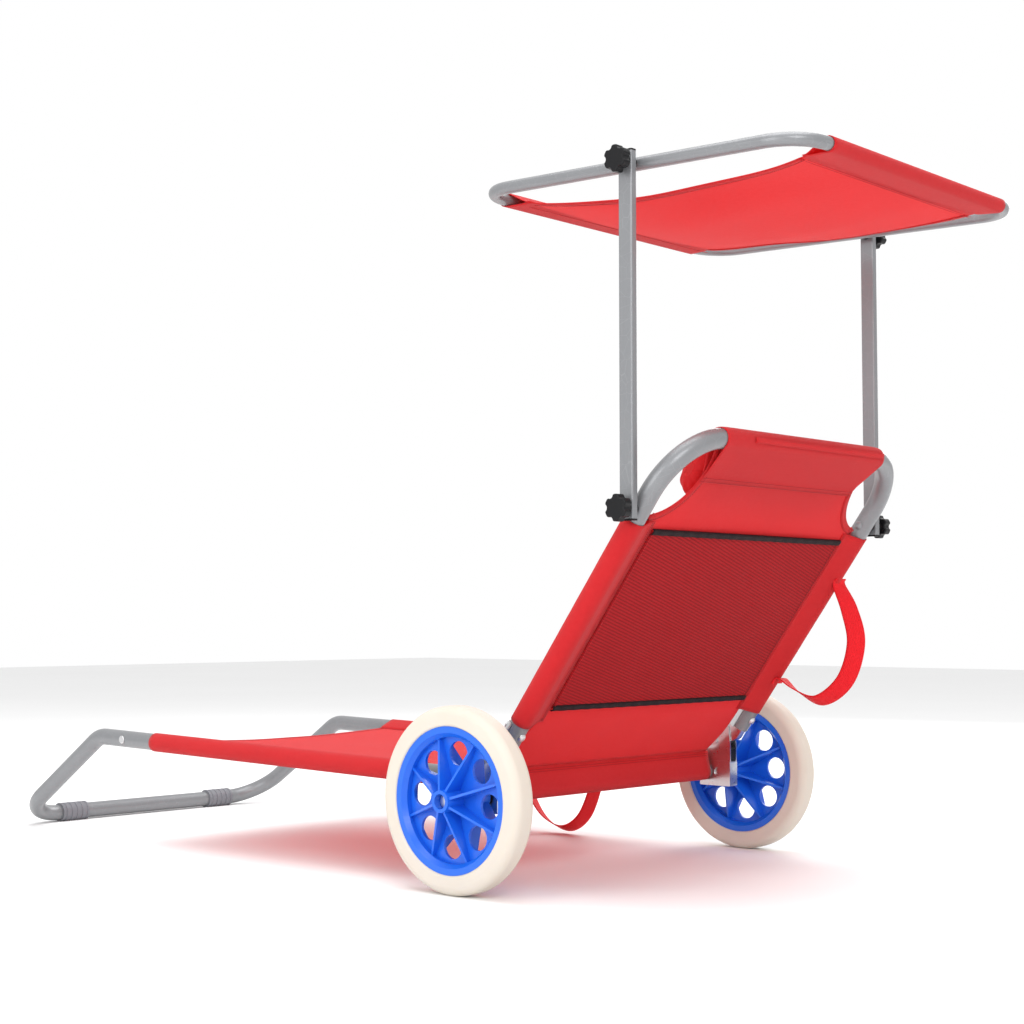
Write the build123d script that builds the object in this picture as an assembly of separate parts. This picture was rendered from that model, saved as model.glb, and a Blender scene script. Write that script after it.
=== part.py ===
from build123d import *
import math
import os

# Beach cart: a folding lounger on two wheels, with a canopy over its backrest.
# Millimetres, +Z up. The head end is at +Y, the foot end at -Y, and left is +X.
# The origin lies on the ground, at the middle of the whole cart's length and width.

# ---- driving dimensions ----
# main frame
rail_centre = 247.0          # half the distance between the side tubes' axes
tube_d = 25.0                # side tubes, foot tube and back frame
tube_wall = 1.2
wheel_d = 230.0
leg_start = 22.0             # the leg rail's end behind the axle
leg_joint = 735.0            # axle to the end of the leg rail's full diameter
leg_bend = 826.0             # axle to the bend above the foot
foot_reach = 1040.0          # axle to the foot crossbar
leg_slope = 1.25             # rise of the leg rails towards the foot, degrees
foot_bend_r = 50.0
foot_corner_r = 69.0
rail_over_axle = 20.5        # the leg rail's axis above the axle
# backrest
back_angle = 53.68           # above the horizontal
back_datum_y = 44.7          # the bolt of the back rail, from the axle
back_datum_z = 81.6
back_length = 436.0          # from that bolt to the head crossbar
back_tail = 19.0             # the tube below that bolt
head_bend_r = 83.0
pivot_y = -5.0               # the folding pivot, from the axle
pivot_z = 45.0
# posts and canopy
post_along = 330.7           # the post's lower bolt, along the back rail
post_pitch = 406.5           # between the post's bolts
post_end = 12.0              # the post beyond each bolt
post_w = 20.0
post_t = 10.0
post_wall = 1.2
post_gap = 5.0               # back tube to post
canopy_d = 16.0
canopy_wall = 1.0
canopy_gap = 4.0             # canopy tube to post
canopy_front = 254.7         # canopy bolt to the foot-side end bar
canopy_rear = 231.0
canopy_corner_r = 50.0
canopy_tilt = 1.66           # the canopy's head end is lower, degrees
canopy_sag = 42.0
canopy_waist = 52.0          # how far the cloth's long edges curve in
# hinge
bracket_t = 16.0             # over both plates
sheet_t = 1.8
box_front = 31.0             # the lower box, from the axle
box_rear = 22.0
box_low = 20.0               # below the axle
box_high = 16.0              # above the axle
box_wrap = 1.0               # how far the lower box stands out from the plates
rail_flat_h = 17.0           # height of the leg rail's flattened end
rail_flat_lift = 4.6         # and its rise over the rail's axis
arm_boss_r = 11.0
crossbar_d = 19.0
crossbar_y = -20.0
crossbar_z = -1.0
# fasteners
bolt_d = 6.0
dome_d = 12.0
dome_h = 3.6
rivet_d = 7.0
knob_d = 32.0
knob_stem_d = 17.0
knob_stem_h = 7.0
knob_head_h = 13.0
knob_lobes = 6
spacer_d = 14.0
pan_d = 10.0
pan_h = 2.6
nut_w = 10.0                 # across flats
nut_h = 4.6
jam_nut_h = 2.2
# wheel
tyre_w = 34.0
rim_r = 90.0
rim_inner_r = 77.0
rim_w = 30.0
web_t = 4.0
wheel_gap = 33.0             # hinge bracket to the tyre's side
boss_r = 14.5
boss_out = 13.0              # boss beyond the tyre's outer side
axle_d = 12.0
rib_count = 8
rib_t = 3.0
hole_r = 15.0
hole_centre_r = 57.0
boss_pocket_d = 18.4         # the axle's washer sits in a pocket of the boss
boss_pocket = 12.0
cap_h = 2.5
washer_t = 2.5
spoke_turn = 18.0
# cloth
cloth_t = 1.2
sleeve_gap = 0.2
seat_front = 683.0           # axle to the seat cloth's foot-end edge
seat_rear = 34.0
sleeve_rear = 112.0          # axle to the rear end of the leg sleeves
back_sleeve_low = 15.0
back_sleeve_high = 316.0
pocket_half = 208.0
pocket_low = 34.0
pocket_high = 306.0
binding_w = 7.0
binding_t = 2.0
pillow_half = 170.0
pillow_low = 338.0
pillow_high = 420.0
pillow_t = 42.0
pillow_edge_r = 12.0
hem_r = 73.0                 # hollow of the back cloth's edge beside the head bend
hem_in = 7.0                 # its centre, inside the rail axis
hem_down = 41.0              # and below the head bar
back_tail_drop = 72.0        # the back cloth's rear panel reaches below the back rail's bolt
back_tail_out = 16.5         # and ends this far in front of the rails' plane
fold_back = -3.0             # the anchor flap's upper fold, from the crossbar
fold_up = 32.0
fold_r = 1.0
seat_tail_rise = 9.0         # the seat cloth's rear edge over the rails' plane
webbing_w = 25.0
webbing_t = 1.6
foot_pad_x = 152.0
foot_pad_l = 50.0
foot_pad_wall = 2.0
# clearances
slip = 0.1                   # radial, for what turns on a bolt or on the axle
arm_gap = 0.5                # hinge arm to each plate
cloth_gap = 2.0              # cloth's side edge to the hinge bracket
part_gap = 0.3               # between pieces that move past each other
body_gap = 0.05              # between pieces that are fixed together

# ---- what follows from them ----
tube_r = tube_d / 2
canopy_r = canopy_d / 2
axle_z = wheel_d / 2
foot_z = tube_r + foot_pad_wall
sleeve_r = tube_r + sleeve_gap + cloth_t
canopy_sleeve_r = canopy_r + sleeve_gap + cloth_t
plate_x = bracket_t / 2
head_half = rail_centre - head_bend_r       # the top sleeve covers the straight of the head bar
rail_flat_w = bracket_t - 2 * sheet_t - 2 * body_gap
arm_t = bracket_t - 2 * sheet_t - 2 * arm_gap
post_x = rail_centre + tube_r + post_gap
canopy_x = post_x - canopy_gap - canopy_r
canopy_half = canopy_x - canopy_corner_r    # and the canopy's sleeves that of its end bars
wheel_x = rail_centre + plate_x + wheel_gap + tyre_w / 2
cap_start = wheel_x + tyre_w / 2 + boss_out - boss_pocket + part_gap
seam_x = rail_centre - tube_r - sleeve_gap - cloth_t / 2    # where a flat panel joins its sleeves
tail_half = rail_centre - plate_x - box_wrap - cloth_gap


def turned(angle):
    return math.cos(math.radians(angle)), math.sin(math.radians(angle))


along_y, along_z = turned(back_angle)
post_bolt_y = back_datum_y + post_along * along_y
post_bolt_z = back_datum_z + axle_z + post_along * along_z
top_bolt_z = post_bolt_z + post_pitch
rear_reach = post_bolt_y + canopy_rear * turned(canopy_tilt)[0] + canopy_sleeve_r
front_reach = foot_reach + tube_r + foot_pad_wall
axle_y = (front_reach - rear_reach) / 2


def incline(y, z, angle):
    """A work plane across the cart: local y runs along the tube, local z to its front or upper side."""
    c, s = turned(angle)
    return Plane(origin=(0, y, z), x_dir=(1, 0, 0), z_dir=(0, -s, c))


rail_z = axle_z + rail_over_axle
leg = incline(axle_y, rail_z, -leg_slope)
back = incline(axle_y + back_datum_y, axle_z + back_datum_z, back_angle)
canopy = incline(axle_y + post_bolt_y, top_bolt_z, -canopy_tilt)
side_plane = Plane(origin=(0, axle_y, axle_z), x_dir=(0, 1, 0), z_dir=(1, 0, 0))
pivot = (axle_y + pivot_y, axle_z + pivot_z)
sides = {"left": 1, "right": -1}


# ---- shared shapes ----
def across(radius, x_low, x_high, y=0.0, z=0.0):
    """A round bar along X."""
    bar = Rot(0, 90, 0) * Cylinder(radius, abs(x_high - x_low))
    return Pos((x_low + x_high) / 2, y, z) * bar


def swept_tube(points, radii, outer_r, wall):
    path = FilletPolyline(*points, radius=radii)
    mouth = Plane(origin=path @ 0, z_dir=path % 0)
    skin = sweep(mouth * Circle(outer_r), path)
    return skin - sweep(mouth * Circle(outer_r - wall), path)


def bar_along(radius, start, stop):
    """A round bar along local y."""
    return Pos(0, (start + stop) / 2, 0) * Rot(90, 0, 0) * Cylinder(radius, stop - start)


def ring_along(inner_r, outer_r, start, stop):
    """A tube along local y."""
    return bar_along(outer_r, start, stop) - bar_along(inner_r, start, stop)


def sleeve_across(inner_r, outer_r, half, y):
    return across(outer_r, -half, half, y) - across(inner_r, -half, half, y)


def dome():
    """A mushroom head that stands on the XY plane."""
    ball_r = (dome_d ** 2 / 4 + dome_h ** 2) / (2 * dome_h)
    return Pos(0, 0, dome_h - ball_r) * Sphere(ball_r) & Pos(0, 0, dome_h / 2) * Box(dome_d, dome_d, dome_h)


def clamp_bolt(side, tube_centre, outer_r, y, z):
    """Domed bolt through a side tube, its spacer gap and the post."""
    inner_face = tube_centre - outer_r - part_gap
    length = post_x + post_t + part_gap + knob_stem_h + knob_head_h - 4.0 - inner_face
    bolt = dome() + Pos(0, 0, 1.0 - (length + 1.0) / 2) * Cylinder(bolt_d / 2, length + 1.0)
    return Pos(side * inner_face, y, z) * Rot(0, -90 * side, 0) * bolt


def clamp_spacer(side, tube_centre, outer_r, y, z):
    start = side * (tube_centre + outer_r + part_gap)
    stop = side * (post_x - part_gap)
    ring = across(spacer_d / 2, start, stop, y, z)
    return ring - across(bolt_d / 2 + body_gap, start, stop, y, z)


def star_knob(side, y, z):
    """Six-lobed hand knob: a stem against the post and a lobed head outside it."""
    start = post_x + post_t + part_gap
    notch_r = knob_d * 0.14
    notch_at = knob_d * 0.54
    lobe_r = knob_d * 0.08
    outline = Circle(knob_d / 2)
    for i in range(knob_lobes):
        c, s = turned((i + 0.5) * 360 / knob_lobes)
        outline -= Pos(c * notch_at, s * notch_at) * Circle(notch_r)
    outline = fillet(outline.vertices(), lobe_r)
    head = extrude(outline, knob_head_h)
    head = fillet(head.edges().group_by(Axis.Z)[0] + head.edges().group_by(Axis.Z)[-1], 1.6)
    knob = Pos(0, 0, knob_stem_h) * head + Pos(0, 0, knob_stem_h / 2) * Cylinder(knob_stem_d / 2, knob_stem_h)
    bore_h = knob_stem_h + knob_head_h - 3.0
    knob -= Pos(0, 0, bore_h / 2) * Cylinder(bolt_d / 2 + slip, bore_h)
    return Pos(side * start, y, z) * Rot(0, 90 * side, 0) * knob


# ---- leg frame ----
def foot_tube():
    """One bent tube: out of the leg rails, down to the ground and across."""
    joint = leg.from_local_coords(Vector(0, -leg_joint, 0))
    bend = leg.from_local_coords(Vector(0, -leg_bend, 0))
    points = []
    for x in (rail_centre, -rail_centre):
        run = [(x, joint.Y, joint.Z), (x, bend.Y, bend.Z), (x, axle_y - foot_reach, foot_z)]
        points += run if x > 0 else run[::-1]
    tube = swept_tube(points, [foot_bend_r, foot_corner_r, foot_corner_r, foot_bend_r], tube_r, tube_wall)
    for side in sides.values():
        tube -= rivet_hole(side)
    return tube


rivet_along = -(leg_joint + 17.0)


def rivet_hole(side):
    return leg * across(rivet_d / 2, side * (rail_centre + 20.0), side * rail_centre, rivet_along)


def foot_rivet(side):
    """Blind rivet that holds the foot tube on the leg rail's reduced end."""
    face = rail_centre + tube_r
    shank = across(rivet_d / 2 - body_gap, side * (face - 3.0), side * (face + 0.2), rivet_along)
    head = across(rivet_d / 2 + 2.5, side * (face - 0.1), side * (face + 1.6), rivet_along)
    head = fillet(head.edges().group_by(Axis.X)[-1 if side > 0 else 0], 1.0)
    head -= Pos(side * rail_centre, 0, 0) * bar_along(tube_r + body_gap, rivet_along - 15.0, rivet_along + 15.0)
    return leg * (shank + head)


def leg_rail(side):
    """Straight side tube: swaged into the foot tube, and squeezed flat between the hinge plates."""
    squeeze = box_front + 3.0
    taper = squeeze + 30.0
    tube = ring_along(tube_r - tube_wall, tube_r, -leg_joint + body_gap, -taper)
    swage_r = tube_r - tube_wall - body_gap
    tube += ring_along(swage_r - tube_wall, swage_r, -leg_joint - 36.0, -leg_joint + body_gap)
    tube += ring_along(swage_r - tube_wall, tube_r - tube_wall, -leg_joint + body_gap, -leg_joint + 4.0)
    tube -= across(rivet_d / 2, 0, side * 30.0, rivet_along)

    def skin(inset):
        mouth = Plane(origin=(0, -taper, 0), z_dir=(0, 1, 0), x_dir=(1, 0, 0))
        flat = Plane(origin=(0, -squeeze, rail_flat_lift), z_dir=(0, 1, 0), x_dir=(1, 0, 0))
        oval = RectangleRounded(rail_flat_w - 2 * inset, rail_flat_h - 2 * inset, 4.0 - inset)
        neck = loft([mouth * Circle(tube_r - inset), flat * oval])
        return neck + extrude(flat * oval, squeeze + leg_start - 3.0)

    tube += skin(0.0) - skin(tube_wall)
    return leg * Pos(side * rail_centre, 0, 0) * tube


def rail_end_plug(side):
    """Black cap in the leg rail's flattened end."""
    cap = Box(rail_flat_w, 3.0, rail_flat_h)
    cap = fillet(cap.edges().filter_by(Axis.Y), 2.5)
    return leg * Pos(side * rail_centre, leg_start - 1.5 + body_gap, rail_flat_lift) * cap


def bracket_outline():
    """Side outline of the hinge plates, from the axle."""
    return Polyline(
        (-box_front, -box_low),
        (box_rear, -box_low),
        (box_rear, 38.0),
        (19.0, 67.0),
        (8.0, 69.5),
        (-box_front, 29.0),
        close=True,
    )


def hinge_bracket(side):
    """Folded sheet: two plates, and a closed box below that carries the wheel's axle."""
    outline = make_face(bracket_outline())
    outline = fillet(outline.vertices(), 3.0)
    plate = extrude(outline, sheet_t)
    inner = Pos(0, 0, -plate_x) * plate
    outer = Pos(0, 0, plate_x - sheet_t) * plate
    length = box_front + box_rear
    height = box_low + box_high
    middle = ((box_rear - box_front) / 2, height / 2 - box_low)
    shell = Pos(*middle, 0) * Box(length, height, bracket_t + 2 * box_wrap)
    shell = fillet(shell.edges().filter_by(Axis.Z), 2.0)
    core = Pos(*middle, 0) * Box(length - 2 * sheet_t, height - 2 * sheet_t, bracket_t - 2 * sheet_t)
    bracket = inner + outer + shell - core
    for x, y, radius in ((pivot_y, pivot_z, bolt_d / 2 + body_gap), (0, 0, axle_d / 2 + body_gap)):
        bracket -= Pos(x, y, 0) * Cylinder(radius, 40.0)
    return Pos(side * rail_centre, 0, 0) * side_plane.location * bracket


def nut(height):
    return extrude(RegularPolygon(nut_w / 2, 6, major_radius=False), height)


def pivot_bolt(side):
    """Pan-head bolt that the back folds on, with its nut outside."""
    y, z = pivot
    inner = side * (rail_centre - plate_x)
    outer = side * (rail_centre + plate_x)
    shank = across(bolt_d / 2, inner - side, outer + side * (nut_h + 0.4), y, z)
    head = across(pan_d / 2, inner - side * pan_h, inner - side * body_gap, y, z)
    drive = extrude(RegularPolygon(pan_d / 5, 6), pan_h / 2, both=True)
    socket = Pos(inner - side * pan_h, y, z) * Rot(0, 90, 0) * drive
    outer_nut = Pos(outer + side * body_gap, y, z) * Rot(0, 90 * side, 0) * nut(nut_h)
    return shank + head + outer_nut - socket


def crossbar():
    """Tube between the hinge brackets that the seat cloth is anchored to."""
    end = rail_centre - plate_x - box_wrap
    y, z = axle_y + crossbar_y, axle_z + crossbar_z
    return across(crossbar_d / 2, -end, end, y, z) - across(crossbar_d / 2 - tube_wall, -end, end, y, z)


def axle_stub(side):
    """Fixed steel axle of one wheel, held in the hinge bracket's box."""
    start = rail_centre - plate_x + sheet_t
    stop = cap_start + cap_h + 1.0
    return across(axle_d / 2, side * start, side * stop, axle_y, axle_z)


def axle_cap(side):
    """Push-on washer that keeps the wheel on its axle, in the boss's pocket."""
    washer = Pos(0, 0, cap_h / 2) * Cylinder(boss_pocket_d / 2 - part_gap, cap_h)
    washer = fillet(washer.edges().group_by(Axis.Z)[-1], cap_h / 2)
    washer -= Cylinder(axle_d / 2 + body_gap, 3 * cap_h)
    return Pos(side * cap_start, axle_y, axle_z) * Rot(0, 90 * side, 0) * washer


def wheel_washer(side):
    """Plastic washer between the hinge bracket and the wheel."""
    start = rail_centre + plate_x + box_wrap + body_gap
    stop = start + washer_t
    washer = across(boss_r - 1.0, side * start, side * stop, axle_y, axle_z)
    return washer - across(axle_d / 2 + body_gap, side * (start - 1.0), side * (stop + 1.0), axle_y, axle_z)


def foot_pad(side):
    """Plastic clip round the foot crossbar, with a flat that stands on the ground."""
    outer_r = tube_r + foot_pad_wall
    clip = ring_x(tube_r + body_gap, outer_r + 1.0, foot_pad_l)
    clip -= Pos(0, 0, -outer_r - 10.0) * Box(foot_pad_l + 2, 60.0, 20.0)
    clip -= Pos(0, -outer_r - 10.0, 0) * Box(foot_pad_l + 2, 20.0, 60.0)
    grooves = 5
    for i in range(grooves):
        x = (i - (grooves - 1) / 2) * foot_pad_l / grooves
        groove = ring_x(outer_r + 0.4, outer_r + 3.0, 3.0)
        clip -= Pos(x, 0, 0) * groove
    return Pos(side * foot_pad_x, axle_y - foot_reach, foot_z) * clip


def ring_x(inner_r, outer_r, length):
    return Rot(0, 90, 0) * (Cylinder(outer_r, length) - Cylinder(inner_r, length))


# ---- wheels ----
def tyre(side):
    """Foam tyre with rounded shoulders."""
    section = Pos((rim_r + axle_z) / 2, 0) * Rectangle(axle_z - rim_r, tyre_w)
    shoulders = section.vertices().group_by(Axis.X)
    section = fillet(shoulders[-1], 11.0)
    section = fillet(section.vertices().group_by(Axis.X)[0], 3.0)
    return wheel_place(side) * revolve(section, Axis.Y)


def wheel_place(side):
    return Pos(side * wheel_x, axle_y, axle_z) * Rot(0, 0, -90 * side)


def hub(side):
    """Moulded wheel: rim, pierced web, ribs on both faces and a long boss. Local y points outwards."""
    half = rim_w / 2
    low = rail_centre + plate_x + box_wrap + washer_t + 2 * part_gap - wheel_x
    high = tyre_w / 2 + boss_out
    rim = Polyline(
        (rim_inner_r, -half + 6.0),
        (rim_inner_r + 5.0, -half),
        (rim_r - body_gap, -half),
        (rim_r - body_gap, half),
        (rim_inner_r + 5.0, half),
        (rim_inner_r, half - 6.0),
        close=True,
    )
    body = revolve(make_face(rim), Axis.Y)
    body += Rot(90, 0, 0) * Cylinder(rim_inner_r + 2.0, web_t)
    boss = Polyline((0, low), (boss_r - 1.0, low), (boss_r, 0), (boss_r - 1.0, high), (0, high), close=True)
    body += revolve(make_face(boss), Axis.Y)
    rib = Polyline(
        (0, low + 3.0),
        (boss_r, low + 3.0),
        (rim_inner_r + 2.0, -half + 8.0),
        (rim_inner_r + 2.0, half - 8.0),
        (boss_r, high - 3.0),
        (0, high - 3.0),
        close=True,
    )
    rib = extrude(make_face(rib), rib_t / 2, both=True)
    drill = Rot(90, 0, 0) * Cylinder(hole_r, rim_w)
    for i in range(rib_count):
        turn = i * 360 / rib_count
        body += Rot(0, turn, 0) * rib
        body -= Rot(0, turn + 180 / rib_count, 0) * Pos(hole_centre_r, 0, 0) * drill
    body -= Rot(90, 0, 0) * Cylinder(axle_d / 2 + slip, wheel_d)
    body -= Pos(0, high, 0) * Rot(90, 0, 0) * Cylinder(boss_pocket_d / 2, 2 * boss_pocket)
    return wheel_place(side) * Rot(0, spoke_turn, 0) * body


# ---- backrest ----
def back_frame():
    """Bent tube of the backrest, open at its lower ends."""
    points = [
        (rail_centre, -back_tail, 0),
        (rail_centre, back_length, 0),
        (-rail_centre, back_length, 0),
        (-rail_centre, -back_tail, 0),
    ]
    frame = swept_tube(points, [head_bend_r, head_bend_r], tube_r, tube_wall)
    for side in sides.values():
        frame -= across(bolt_d / 2 + slip, side * (rail_centre - 20), side * (rail_centre + 20), post_along)
        frame -= Pos(side * rail_centre, 0, 0) * Cylinder(bolt_d / 2 + body_gap, 40.0)
    return back * frame


def hinge_arm(side):
    """Zinc-plated arm: a boss on the folding pivot, and a saddle and tongue on the back tube."""
    local = back.to_local_coords(Vector(0, *pivot))
    boss = Pos(local.Y, local.Z) * Circle(arm_boss_r)
    heel = Polyline((-34, -9), (-20, -9), (-20, 14), (-34, 15), close=True)
    web = make_hull(boss.edges() + make_face(heel).edges())
    arm = extrude(web, arm_t / 2, both=True)
    tongue = Pos(-6.0, 0) * Rectangle(32.0, 17.0)
    arm += extrude(tongue, arm_t / 2, both=True)
    arm -= Pos(local.Y, local.Z, 0) * Cylinder(bolt_d / 2 + slip, 40.0)
    arm = Plane(origin=(0, 0, 0), x_dir=(0, 1, 0), z_dir=(1, 0, 0)).location * arm
    saddle = ring_along(tube_r + body_gap, tube_r + sheet_t, -back_tail - 2.0, 12.0)
    saddle -= Pos(0, 0, -8.5) * Box(60.0, 100.0, 20.0)
    arm += saddle
    arm -= Cylinder(bolt_d / 2 + body_gap, 60.0)
    return back * Pos(side * rail_centre, 0, 0) * arm


def arm_bolt(side):
    """Dome-headed bolt through the back tube and the arm, with its nut in front."""
    low = -tube_r - 0.5
    high = tube_r + sheet_t + jam_nut_h
    shank = Pos(0, 0, (low + high) / 2) * Cylinder(bolt_d / 2, high - low)
    head = Pos(0, 0, -tube_r + 0.5) * Rot(180, 0, 0) * dome() - bar_along(tube_r + body_gap, -dome_d, dome_d)
    front_nut = Pos(0, 0, tube_r + sheet_t + body_gap) * nut(jam_nut_h)
    return back * Pos(side * rail_centre, 0, 0) * (shank + head + front_nut)


def slanted_sheet(half, start, end):
    """A flat piece of cloth across the cart, between two (along, out) points of a work plane."""
    run = Line(start, end)
    strip = make_face(offset(run, cloth_t / 2, side=Side.BOTH))
    return Plane(origin=(0, 0, 0), x_dir=(0, 1, 0), z_dir=(1, 0, 0)).location * extrude(strip, half, both=True)


def back_sling():
    """Cloth of the backrest: a flat panel between the tubes, with a sleeve on each, and a tail to the seat."""
    inner_r = tube_r + sleeve_gap
    top = back_length - inner_r - cloth_t / 2
    panel = Pos(0, (back_sleeve_low + top) / 2) * Rectangle(2 * seam_x, top - back_sleeve_low)
    for side in sides.values():
        panel -= Pos(side * (rail_centre - hem_in), back_length - hem_down) * Circle(hem_r)
    sling = extrude(panel, cloth_t / 2, both=True)
    for side in sides.values():
        sleeve = ring_along(inner_r, sleeve_r, back_sleeve_low, back_sleeve_high)
        sling += Pos(side * rail_centre, 0, 0) * sleeve
    sling += sleeve_across(inner_r, sleeve_r, head_half, back_length)
    start, end = (back_sleeve_low + cloth_t, 0), (-back_tail_drop, back_tail_out)
    sling += slanted_sheet(rail_centre - tube_r - sheet_t - cloth_gap, start, end)
    return back * sling


def mesh_pocket():
    """Flat storage pocket of mesh behind the panel, empty."""
    length = pocket_high - pocket_low - 2 * binding_w
    depth = cloth_t / 2 + body_gap + cloth_t / 2
    return back * Pos(0, (pocket_low + pocket_high) / 2, -depth) * Box(2 * pocket_half, length, cloth_t)


def pocket_binding(along):
    """Black tape on one edge of the pocket."""
    tape = Box(2 * pocket_half, binding_w - body_gap, binding_t)
    return back * Pos(0, along, -cloth_t / 2 - body_gap - binding_t / 2) * tape


def head_pillow():
    """Soft head pad on the front of the panel."""
    length = pillow_high - pillow_low
    pad = Box(2 * pillow_half, length, pillow_t)
    pad = fillet(pad.edges(), pillow_edge_r)
    return back * Pos(0, (pillow_low + pillow_high) / 2, cloth_t / 2 + part_gap + pillow_t / 2) * pad


def seat_sling():
    """Cloth of the seat and legs, with a sleeve on each leg rail and a tail to the crossbar."""
    inner_r = tube_r + sleeve_gap
    length = seat_front - sleeve_rear
    sling = Pos(0, -(seat_front + sleeve_rear) / 2, 0) * Box(2 * seam_x, length, cloth_t)
    start, end = (-sleeve_rear - cloth_t, 0), (-seat_rear, seat_tail_rise)
    sling += slanted_sheet(rail_centre - tube_r - cloth_gap, start, end)
    for side in sides.values():
        sling += Pos(side * rail_centre, 0, 0) * ring_along(inner_r, sleeve_r, -seat_front, -sleeve_rear)
    return leg * sling


def anchor_flap():
    """The seat cloth's hem, looped round the crossbar."""
    bar_r = crossbar_d / 2 + sleeve_gap

    def loop(grow):
        bar = Pos(crossbar_y, crossbar_z) * Circle(bar_r + grow)
        fold = Pos(crossbar_y + fold_back, crossbar_z + fold_up) * Circle(fold_r + grow)
        return make_hull(bar.edges() + fold.edges())

    return side_plane.location * extrude(loop(cloth_t) - loop(0), tail_half - part_gap, both=True)


# ---- posts and canopy ----
def post(side):
    """Rectangular tube from the back rail up to the canopy."""
    height = post_pitch + 2 * post_end
    middle = Pos(side * (post_x + post_t / 2), axle_y + post_bolt_y, post_bolt_z + post_pitch / 2)
    outer = fillet(Box(post_t, post_w, height).edges().filter_by(Axis.Z), 2.0)
    inner = fillet(Box(post_t - 2 * post_wall, post_w - 2 * post_wall, height).edges().filter_by(Axis.Z), 0.8)
    tube = middle * (outer - inner)
    for z in (post_bolt_z, top_bolt_z):
        hole = across(bolt_d / 2 + slip, post_x - 1.0, post_x + post_t + 1.0, axle_y + post_bolt_y, z)
        tube -= hole if side > 0 else mirror(hole, Plane.YZ)
    return tube


def post_plugs(side):
    """Black plastic end plugs of one post."""
    cap = Box(post_t, post_w, 2.0)
    cap = fillet(cap.edges().filter_by(Axis.Z), 2.0)
    x = side * (post_x + post_t / 2)
    y = axle_y + post_bolt_y
    low = post_bolt_z - post_end - 1.0 - body_gap
    high = top_bolt_z + post_end + 1.0 + body_gap
    return Compound(children=[Pos(x, y, low) * cap, Pos(x, y, high) * cap])


def canopy_frame():
    """Closed round-cornered hoop of thin tube, bolted between the posts."""
    width = 2 * canopy_x
    length = canopy_front + canopy_rear
    line = RectangleRounded(width, length, canopy_corner_r).wire()
    line = Pos(0, (canopy_rear - canopy_front) / 2, 0) * line
    mouth = Plane(origin=line @ 0, z_dir=line % 0)
    hoop = sweep(mouth * Circle(canopy_r), line) - sweep(mouth * Circle(canopy_r - canopy_wall), line)
    for side in sides.values():
        hoop -= across(bolt_d / 2 + slip, side * (canopy_x - 12), side * (canopy_x + 12))
    return canopy * hoop


def canopy_sling():
    """Sagging sun cloth with a sleeve on each end bar and hollowed long edges."""
    inner_r = canopy_r + sleeve_gap
    ends = (-canopy_front, canopy_rear)
    low = -canopy_sag - inner_r
    under = ThreePointArc((ends[0], -inner_r), ((ends[0] + ends[1]) / 2, low), (ends[1], -inner_r))
    over = ThreePointArc(
        (ends[1], -inner_r - cloth_t), ((ends[0] + ends[1]) / 2, low - cloth_t), (ends[0], -inner_r - cloth_t))
    band = make_face([under, Line(under @ 1, over @ 0), over, Line(over @ 1, under @ 0)])
    lengthwise = Plane(origin=(0, 0, 0), x_dir=(0, 1, 0), z_dir=(1, 0, 0)).location
    cloth = lengthwise * extrude(band, canopy_half, both=True)
    for y in ends:
        cloth += sleeve_across(inner_r, canopy_sleeve_r, canopy_half, y)
    chord = canopy_front + canopy_rear - 2 * canopy_sleeve_r - 6.0
    edge_r = (chord ** 2 / 4 + canopy_waist ** 2) / (2 * canopy_waist)
    middle_y = (ends[0] + ends[1]) / 2
    for side in sides.values():
        cloth -= Pos(side * (canopy_half - canopy_waist + edge_r), middle_y, 0) * Cylinder(edge_r, 200.0)
    return canopy * cloth


# ---- webbing handles: (along the rail, out from its sleeve) ----
back_handle = [
    (234.4, 1.1), (229.7, 31.1), (200.6, 76.1), (146.1, 91.3), (84.5, 73.3), (68.7, 31.6), (72.8, 1.1)]
leg_handle = [
    (-385.8, 1.1), (-375.5, 56.8), (-342.5, 104.1), (-297.1, 123.1),
    (-259.6, 97.3), (-236.7, 49.8), (-227.7, 1.1)]
handle_bend_r = 22.0
handle_x = -rail_centre - 3.0


def webbing_handle(rail, route):
    """A strap whose two ends are sewn to the sleeve of the right side tube."""
    points = [rail.from_local_coords(Vector(handle_x, along, -sleeve_r - out)) for along, out in route]
    path = FilletPolyline(*points, radius=handle_bend_r)
    mouth = Plane(origin=path @ 0, x_dir=(1, 0, 0), z_dir=path % 0)
    return sweep(mouth * Rectangle(webbing_w, webbing_t), path)


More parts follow.
